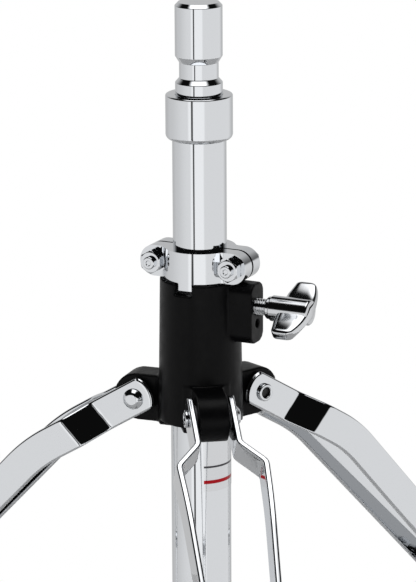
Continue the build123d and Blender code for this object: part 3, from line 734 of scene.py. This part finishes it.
stand_for(join_meshes("leg_pivot_rivets_look", rivets), "leg_pivot_rivets")
# Dark cups in the rivet ends: painted shade inside their hollows.
finish_piece(join_meshes("leg_pivot_rivets_bores", bores), "base", PAINTED_HOLE_SHADE, "chrome")
stand_for(join_meshes("leg_pivot_washers_look", washers), "leg_pivot_washers")

# ---------------------------------------------------------------- castings and lock
HUB_VOXEL, HUB_ROUNDS = 0.5, 10
COLLAR_VOXEL, COLLAR_ROUNDS = 0.55, 8
BUSHING_EDGE, LOCK_EDGE = 0.25, 0.7

stand_for(cast(cad_copy("hub", "hub_look"), HUB_VOXEL, HUB_ROUNDS), "hub")
slider_look = cad_copy("sliding_collar", "sliding_collar_look")
stand_for(cast(slider_look, COLLAR_VOXEL, COLLAR_ROUNDS), "sliding_collar")
softened_node("hub_bushing", BUSHING_EDGE, 2)
softened_node("lock_front_half", LOCK_EDGE, 4)
softened_node("lock_rear_half", LOCK_EDGE, 4)


# --- Bolts and nuts of the memory lock ---
LOCK_AZ = radians(-125.0)
LOCK_Z = (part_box("lock_nuts")[0].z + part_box("lock_nuts")[1].z) / 2
BOLT_OFFSET, BOLT_R, BOLT_END, BOLT_CHAMFER = 20.0, 3.0, 2.0, 0.6
DIMPLE_R, DIMPLE_FLOOR_R, DIMPLE_DEPTH = 1.3, 1.1, 0.5
NUT_AF, NUT_T, LOCK_EAR_T = 10.0, 4.6, 8.0
NUT_FACE, NUT_SLOPE, NUT_CREASE = 0.96, 1.73, 22.0
CHAMFER_ROWS = (0.0, 0.15, 0.35, 0.6, 0.9, 1.3)
CLOSED_BORE = 0.01


def hex_mesh(start, end, bore):
    """Chamfered hexagon along X between two heights, bored through or closed, as vertices and faces."""
    around = 72
    thick = end - start
    rows = [*CHAMFER_ROWS, *(thick - row for row in reversed(CHAMFER_ROWS))]
    rings = [(start, bore), *((start + row, None) for row in rows), (end, bore)]
    vertices, faces = [], []
    for x, fixed in rings:
        for step in range(around):
            angle = 2 * pi * step / around
            flat = NUT_AF / 2 / cos((angle + pi / 6) % (pi / 3) - pi / 6)
            cone = NUT_AF / 2 * NUT_FACE + min(x - start, end - x) * NUT_SLOPE
            radius = fixed if fixed is not None else min(flat, cone)
            vertices.append(Vector((x, radius * cos(angle), radius * sin(angle))))
    loops = len(rings)
    for row in range(loops if bore > CLOSED_BORE else loops - 1):
        for step in range(around):
            right = (step + 1) % around
            a, b = row * around + step, row * around + right
            c, d = (row + 1) % loops * around + right, (row + 1) % loops * around + step
            faces.append((a, b, c, d))
    return vertices, faces


def lock_fasteners(node, bolts):
    """Both bolts or both nuts."""
    parts = []
    nut_end = LOCK_EAR_T + NUT_T
    tip = nut_end + BOLT_END
    shank = [
        (BOLT_R, -LOCK_EAR_T, 0), (BOLT_R, tip, BOLT_CHAMFER), (DIMPLE_R, tip, 0.2),
        (DIMPLE_FLOOR_R, tip - DIMPLE_DEPTH, 0.1), (0, tip - DIMPLE_DEPTH, 0)]
    hexagon = (-nut_end, -LOCK_EAR_T, CLOSED_BORE) if bolts else (LOCK_EAR_T, nut_end, BOLT_R)
    vertices, faces = hex_mesh(*hexagon)
    for offset in (-BOLT_OFFSET, BOLT_OFFSET):
        centre = Matrix.Translation((0, offset * MM, LOCK_Z))
        place = Matrix.Rotation(LOCK_AZ, 4, "Z") @ centre @ Matrix.Scale(MM, 4)
        head = add_object(f"{node}_hex_{offset}", mesh_from(node, [place @ v for v in vertices], faces))
        parts.append(crisp(face_outward(head), NUT_CREASE))
        if bolts:
            origin = place.to_translation()
            parts.append(lathe(f"{node}_shank_{offset}", shank, origin, spoke(LOCK_AZ), MIDDLE_SEGMENTS))
    return stand_for(join_meshes(node + "_look", parts), node)


lock_fasteners("lock_bolts", True)
lock_fasteners("lock_nuts", False)

# --- Rivets between the struts and the sliding collar ---
SLIDER_RIVET_HALF = 6.2
SLIDER_RIVET = rivet_points(*SMALL_RIVET, SLIDER_RIVET_HALF)
slider_rivets = []
for number, azimuth in LEG_AZIMUTHS.items():
    spot = spoke(azimuth) * PIVOT_R + Vector((0, 0, SLIDER_Z))
    rivet = lathe(f"slider_rivet_{number}", SLIDER_RIVET, spot, tangent(azimuth), SMALL_SEGMENTS)
    slider_rivets.append(rivet)
stand_for(join_meshes("slider_rivets_look", slider_rivets), "slider_rivets")

# ---------------------------------------------------------------- wing screws
THREAD_R, THREAD_DEPTH, THREAD_PITCH = 3.95, 0.62, 1.25
THREAD_END, THREAD_LEAD, THREAD_LEAD_START = 7.4, 1.2, 0.15
THREAD_NOSE, RIDGE_TOP, RIDGE_SLOPE = 0.9, 1.35, 3.4
WING_HALF, WING_TIP_T, WING_WAIST_T, WING_MID_T = 18.0, 3.1, 2.5, 4.6
WING_FLUTE, WING_TIP_SWELL, WING_SQUARE = 3.6, 3.0, 0.45
WING_ROOT_X, WING_TIP_X, WING_EDGE_X, WING_CROWN_X = 12.3, 14.2, 23.5, 28.0
WING_TIP_ROUND, WING_TIP_THIN = 2.4, 0.35
WING_TILT = radians(28.2)
BOSS_AZ, BOSS_REACH = radians(-35.0), 29.8
SLIDER_BOSS_AZ, SLIDER_BOSS_REACH = radians(-30.0), 26.0
BARREL_START, BARREL_NECK_END, BARREL_STEP_END = 5.5, 7.5, 7.9
BARREL_NECK_R, BARREL_R, BARREL_END = 5.4, 6.1, WING_CROWN_X - 0.6
PAD_R, PAD_T, PAD_GAP = 3.9, 3.7, 0.05


def thread_mesh(start, end):
    """Right-hand thread along X, as vertices and faces."""
    around, per_turn = 48, 10
    rows = ceil((end - start) / THREAD_PITCH * per_turn)
    vertices, faces = [], []
    for row in range(rows + 1):
        x = start + (end - start) * row / rows
        lead = min(1.0, (x - start) / THREAD_LEAD + THREAD_LEAD_START)
        for step in range(around):
            angle = 2 * pi * step / around
            phase = (x / THREAD_PITCH - step / around) % 1.0
            ridge = min(1.0, max(0.0, RIDGE_TOP - abs(phase - 0.5) * RIDGE_SLOPE))
            radius = (THREAD_R - THREAD_DEPTH * (1 - ridge)) * (THREAD_NOSE + (1 - THREAD_NOSE) * lead)
            vertices.append(Vector((x, radius * cos(angle), radius * sin(angle))))
    for row in range(rows):
        for step in range(around):
            right = (step + 1) % around
            a, b = row * around + step, row * around + right
            faces.append((a, b, b + around, a + around))
    faces.append(tuple(range(around))[::-1])
    faces.append(tuple(range(rows * around, (rows + 1) * around)))
    return vertices, faces


def squared(value):
    """A cosine or sine pushed outward, so that a round section turns into a rounded box."""
    return abs(value)**WING_SQUARE * (1 if value > 0 else -1)


def wing_mesh():
    """Cast wing: rounded sections carried from tip to tip, waisted between the middle and the tips."""
    stations, around = 96, 64
    vertices, faces = [], []
    for station in range(stations + 1):
        share = -cos(pi * station / stations)
        y = WING_HALF * share
        reach = abs(share)
        near_tip = max(0.0, (abs(y) - (WING_HALF - WING_TIP_ROUND)) / WING_TIP_ROUND)
        rounding = sqrt(max(0.0, 1 - near_tip**2))
        pull = WING_TIP_ROUND * (1 - rounding)
        inner = WING_ROOT_X + (WING_TIP_X - WING_ROOT_X) * max(0.0, reach * 2 - 1) + pull
        outer = WING_CROWN_X - (WING_CROWN_X - WING_EDGE_X) * reach**2 - pull
        half_t = WING_WAIST_T + (WING_MID_T - WING_WAIST_T) * (1 - reach)**WING_FLUTE
        half_t += (WING_TIP_T - WING_WAIST_T) * reach**WING_TIP_SWELL
        half_t *= WING_TIP_THIN + (1 - WING_TIP_THIN) * rounding
        middle, half_x = (inner + outer) / 2, (outer - inner) / 2
        for step in range(around):
            angle = 2 * pi * step / around
            vertices.append(Vector((
                middle + half_x * squared(cos(angle)), y, half_t * squared(sin(angle)))))
    for station in range(stations):
        for step in range(around):
            right = (step + 1) % around
            a, b = station * around + step, station * around + right
            faces.append((a, b, b + around, a + around))
    faces.append(tuple(range(around)))
    faces.append(tuple(range(stations * around, (stations + 1) * around))[::-1])
    return vertices, faces


def wing_screw(node, surface_r, face_r, height, azimuth):
    """Wing screw: threaded shank, collar, barrel and cast wing."""
    tip = surface_r + PAD_GAP + PAD_T - face_r
    place = (Matrix.Rotation(azimuth, 4, "Z") @ Matrix.Translation((face_r * MM, 0, height))
             @ Matrix.Rotation(WING_TILT, 4, "X") @ Matrix.Scale(MM, 4))
    parts = []
    for name, (vertices, faces) in (("thread", thread_mesh(tip, THREAD_END)), ("wing", wing_mesh())):
        piece = add_object(f"{node}_{name}", mesh_from(name, [place @ v for v in vertices], faces))
        face_outward(piece)
        parts.append(piece)
    axis = spoke(azimuth)
    origin = axis * face_r * MM + Vector((0, 0, height))
    barrel = [
        (0, BARREL_START, 0), (BARREL_NECK_R, BARREL_START, 0.9), (BARREL_NECK_R, BARREL_NECK_END, 0.25),
        (BARREL_R, BARREL_STEP_END, 0.4), (BARREL_R, BARREL_END, 1.0), (0, BARREL_END, 0)]
    parts.append(lathe(f"{node}_barrel", barrel, origin, axis, MIDDLE_SEGMENTS))
    piece = join_meshes(node + "_look", parts)
    return stand_for(piece, node, CAST_CHROME)


def pad(node, surface_r, height, azimuth):
    """Pressure pad with a rounded nose."""
    origin = spoke(azimuth) * (surface_r + PAD_GAP) * MM + Vector((0, 0, height))
    points = [(0, 0, 0), (PAD_R, 0, 0.5), (PAD_R, PAD_T, 0.3), (0, PAD_T, 0)]
    return turned_node(node, points, origin=origin, axis=spoke(azimuth), segments=SMALL_SEGMENTS)


SCREW_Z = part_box("post_screw_pad")[0].z + PAD_R * MM
SLIDER_SCREW_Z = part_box("slider_screw_pad")[0].z + PAD_R * MM
wing_screw("post_screw", POST_MM, BOSS_REACH, SCREW_Z, BOSS_AZ)
wing_screw("slider_screw", TUBE_MM, SLIDER_BOSS_REACH, SLIDER_SCREW_Z, SLIDER_BOSS_AZ)
pad("post_screw_pad", POST_MM, SCREW_Z, BOSS_AZ)
pad("slider_screw_pad", TUBE_MM, SLIDER_SCREW_Z, SLIDER_BOSS_AZ)


# ---------------------------------------------------------------- floor, light and camera
FLOOR_RADIUS = 0.8
FLOOR_DROP = 0.2 * MM
FLOOR_WHITE, FLOOR_ROUGHNESS = 0.92, 0.9


def make_floor():
    """Pale round floor under the feet."""
    floor = lathe("floor", [(mm(FLOOR_RADIUS), 0, 0), (0, 0, 0)], (0, 0, FLOOR_Z - FLOOR_DROP))
    material, _, _, shader = new_material("floor")
    shader.inputs["Base Color"].default_value = (FLOOR_WHITE, FLOOR_WHITE, FLOOR_WHITE, 1)
    shader.inputs["Roughness"].default_value = FLOOR_ROUGHNESS
    shader.inputs["Specular IOR Level"].default_value = 0.0
    floor.data.materials.append(material)


class Graph:
    """Small arithmetic on shader node sockets."""

    def __init__(self, tree):
        self.nodes, self.links = tree.nodes, tree.links

    def math(self, operation, *values):
        """One Math node on sockets or numbers."""
        node = self.nodes.new("ShaderNodeMath")
        node.operation = operation
        for socket, value in zip(node.inputs, values):
            if isinstance(value, (int, float)):
                socket.default_value = value
            else:
                self.links.new(value, socket)
        return node.outputs[0]

    def smooth(self, value, start, end):
        """0 at start, 1 at end, with a soft step between them."""
        node = self.nodes.new("ShaderNodeMapRange")
        node.interpolation_type = "SMOOTHSTEP"
        node.inputs["From Min"].default_value = min(start, end)
        node.inputs["From Max"].default_value = max(start, end)
        node.inputs["To Min"].default_value = 0.0 if start < end else 1.0
        node.inputs["To Max"].default_value = 1.0 if start < end else 0.0
        self.links.new(value, node.inputs["Value"])
        return node.outputs["Result"]

    def band(self, value, centre, half, soft):
        """1 within half of the centre, falling to 0 over soft."""
        away = self.math("ABSOLUTE", self.math("SUBTRACT", value, centre))
        return self.smooth(away, half + soft, half)

    def mix(self, base, target, mask):
        """base where the mask is 0, target where it is 1."""
        node = self.nodes.new("ShaderNodeMix")
        node.data_type = "FLOAT"
        for socket, value in zip((node.inputs[0], node.inputs[2], node.inputs[3]), (mask, base, target)):
            if isinstance(value, (int, float)):
                socket.default_value = value
            else:
                self.links.new(value, socket)
        return node.outputs[0]


# --- Brightness of the surround seen in the chrome ---
# LEFT_EDGE, BACK_EDGE, FRONT_CARD and GAP are degrees round from the camera's side, and the other edges are
# degrees of elevation. A level changes between the ends of an edge. A card or gap is (centre, half, soft).
SIDE_LEVEL = 0.98
LEFT_LEVEL = 0.78
LEFT_EDGE = (45.0, 120.0)
FRONT_LEVEL = 1.22
FRONT_CARD = (-10.0, 24.0, 8.0)
BACK_LEVEL = 0.62
BACK_EDGE = (115.0, 150.0)
SWEEP_EDGE = (42.0, 32.0)
GAP_LEVEL = 0.08
GAP = (-24.5, 2.0, 2.5)
ROOM_LEVEL = 0.005
ROOM_EDGE = (1.0, 9.0)
TOP_LEVEL = 2.1
TOP_EDGE = (58.0, 68.0)


def make_world():
    """White to the camera; reflections see a bright table, a dark room, a grey sweep and an overhead box."""
    world = bpy.data.worlds.new("studio")
    world.use_nodes = True
    bpy.context.scene.world = world
    graph = Graph(world.node_tree)
    nodes, links = graph.nodes, graph.links
    place = nodes.new("ShaderNodeTexCoord")
    split = nodes.new("ShaderNodeSeparateXYZ")
    links.new(place.outputs["Generated"], split.inputs["Vector"])
    x, y, z = split.outputs
    towards = Vector((sin(CAMERA_TURN), -cos(CAMERA_TURN)))
    ahead = graph.math("ADD", graph.math("MULTIPLY", x, towards.x), graph.math("MULTIPLY", y, towards.y))
    aside = graph.math("SUBTRACT", graph.math("MULTIPLY", y, towards.x), graph.math("MULTIPLY", x, towards.y))
    azimuth = graph.math("DEGREES", graph.math("ARCTAN2", aside, ahead))
    height = graph.math("DEGREES", graph.math("ARCSINE", z))
    away = graph.math("ABSOLUTE", azimuth)

    level = graph.mix(SIDE_LEVEL, LEFT_LEVEL, graph.smooth(graph.math("MULTIPLY", azimuth, -1.0), *LEFT_EDGE))
    level = graph.mix(level, FRONT_LEVEL, graph.band(azimuth, *FRONT_CARD))
    level = graph.mix(level, GAP_LEVEL, graph.band(azimuth, *GAP))
    level = graph.mix(level, ROOM_LEVEL, graph.smooth(height, *ROOM_EDGE))
    sweep = graph.math("MULTIPLY", graph.smooth(away, *BACK_EDGE), graph.smooth(height, *SWEEP_EDGE))
    level = graph.mix(level, BACK_LEVEL, sweep)
    level = graph.mix(level, TOP_LEVEL, graph.smooth(height, *TOP_EDGE))
    path = nodes.new("ShaderNodeLightPath")
    level = graph.mix(level, 1.0, path.outputs["Is Camera Ray"])
    nodes["Background"].inputs["Color"].default_value = (1, 1, 1, 1)
    links.new(level, nodes["Background"].inputs["Strength"])


def make_camera():
    """The photograph's viewpoint, from the front and a little above."""
    lens = bpy.data.cameras.new("camera")
    lens.lens = CAMERA_LENS
    lens.sensor_width = CAMERA_SENSOR
    lens.sensor_fit = "AUTO"
    lens.clip_start, lens.clip_end = CAMERA_CLIP
    camera = bpy.data.objects.new("camera", lens)
    stand = Vector((CAMERA_DISTANCE * sin(CAMERA_TURN), -CAMERA_DISTANCE * cos(CAMERA_TURN), CAMERA_HEIGHT))
    camera.matrix_world = (
        Matrix.Translation(stand) @ Matrix.Rotation(CAMERA_TURN + CAMERA_YAW, 4, "Z")
        @ Matrix.Rotation(pi / 2 - CAMERA_PITCH, 4, "X") @ Matrix.Rotation(CAMERA_ROLL, 4, "Z"))
    bpy.context.scene.collection.objects.link(camera)
    bpy.context.scene.camera = camera


bpy.context.scene.view_settings.view_transform = "Standard"
make_floor()
make_world()
make_camera()
